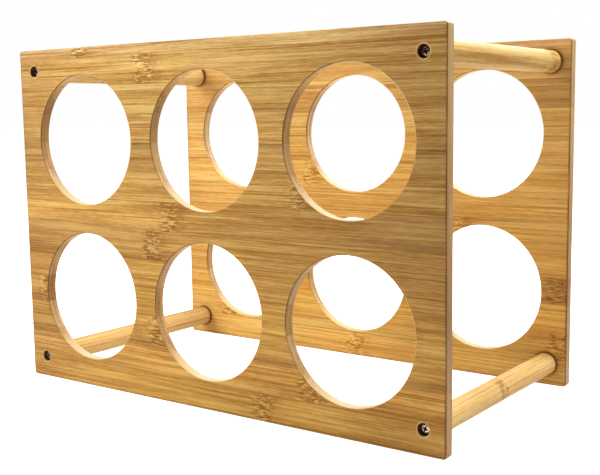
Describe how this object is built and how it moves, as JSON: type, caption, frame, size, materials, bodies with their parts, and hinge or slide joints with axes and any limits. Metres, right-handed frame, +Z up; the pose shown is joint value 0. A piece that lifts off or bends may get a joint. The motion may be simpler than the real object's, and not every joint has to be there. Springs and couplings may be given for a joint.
{
  "type": "wine rack",
  "caption": "Free-standing bottle rack: two drilled laminated bamboo boards joined by round bamboo dowels and sunk screws; bottles lie through the holes.",
  "frame": {"origin": "centre of the footprint, on the surface the rack stands on", "axes": "+X along the boards to the right seen from the front, +Y from the front board to the back board, +Z up"},
  "size_m": [0.345, 0.184, 0.238],
  "materials": {
    "bamboo_board": "satin lacquered laminated bamboo",
    "bamboo_dowel": "satin lacquered solid bamboo",
    "screw_steel": "dark bronze plated"
  },
  "bodies": {
    "root": {"front_panel": "bamboo_board", "back_panel": "bamboo_board", "dowel_top_left": "bamboo_dowel", "dowel_top_right": "bamboo_dowel", "dowel_bottom_left": "bamboo_dowel", "dowel_bottom_right": "bamboo_dowel", "front_screw_top_left": "screw_steel", "front_screw_top_right": "screw_steel", "front_screw_bottom_left": "screw_steel", "front_screw_bottom_right": "screw_steel", "back_screw_top_left": "screw_steel", "back_screw_top_right": "screw_steel", "back_screw_bottom_left": "screw_steel", "back_screw_bottom_right": "screw_steel"}
  },
  "joints": []
}
